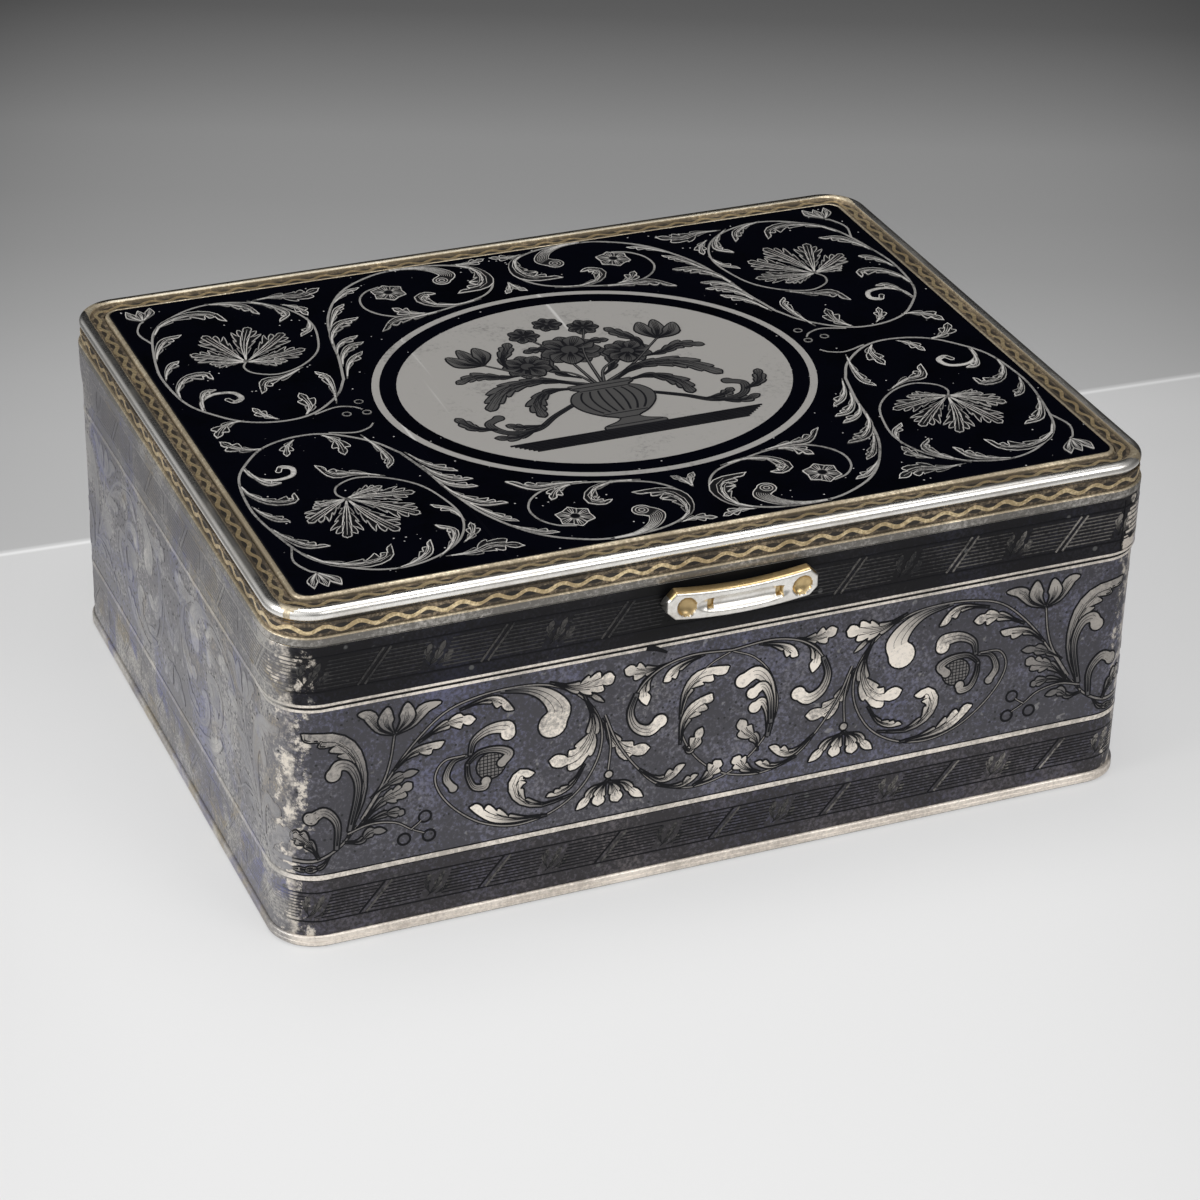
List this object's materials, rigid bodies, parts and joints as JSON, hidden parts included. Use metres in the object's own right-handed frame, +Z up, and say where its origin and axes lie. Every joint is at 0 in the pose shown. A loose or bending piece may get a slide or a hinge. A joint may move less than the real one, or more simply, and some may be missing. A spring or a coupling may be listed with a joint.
{
  "type": "snuff box",
  "caption": "Rectangular silver table snuff box with niello scroll ornament, a moulded lid hinged along its back wall and a cast thumbpiece.",
  "frame": {"origin": "middle of the underside of the base plate, which rests on the table", "axes": "+Z up, +X along the front from left to right, the front with the thumbpiece faces -Y"},
  "size_m": [0.091, 0.0724, 0.0366],
  "materials": {
    "polished_silver": "worn polish",
    "grey_niello": "silver with grey niello ornament",
    "black_niello": "silver with black niello ornament",
    "gilt": "fire gilt",
    "pin_steel": "drawn wire"
  },
  "bodies": {
    "body": {"base_plate": "polished_silver", "foot_rim": "polished_silver", "body_wall": "grey_niello", "mouth_bezel": "gilt", "body_hinge_bearer": "polished_silver", "body_knuckle_1": "polished_silver", "body_knuckle_2": "polished_silver", "body_knuckle_3": "polished_silver", "body_knuckle_4": "polished_silver", "body_knuckle_5": "polished_silver", "hinge_pin": "pin_steel", "hinge_plug_left": "polished_silver", "hinge_plug_right": "polished_silver"},
    "lid": {"lid_skirt": "grey_niello", "lid_frame": "polished_silver", "outer_gilt_wire": "gilt", "inner_gilt_wire": "gilt", "lid_plate": "black_niello", "lid_hinge_bearer": "polished_silver", "lid_knuckle_1": "polished_silver", "lid_knuckle_2": "polished_silver", "lid_knuckle_3": "polished_silver", "lid_knuckle_4": "polished_silver", "thumbpiece": "gilt"}
  },
  "joints": [
    {"name": "lid_hinge", "type": "hinge", "parent": "body", "child": "lid", "pos_m": [0, 0.03415, 0.0316], "axis": [-1, 0, 0], "range_deg": [0, 105]}
  ]
}
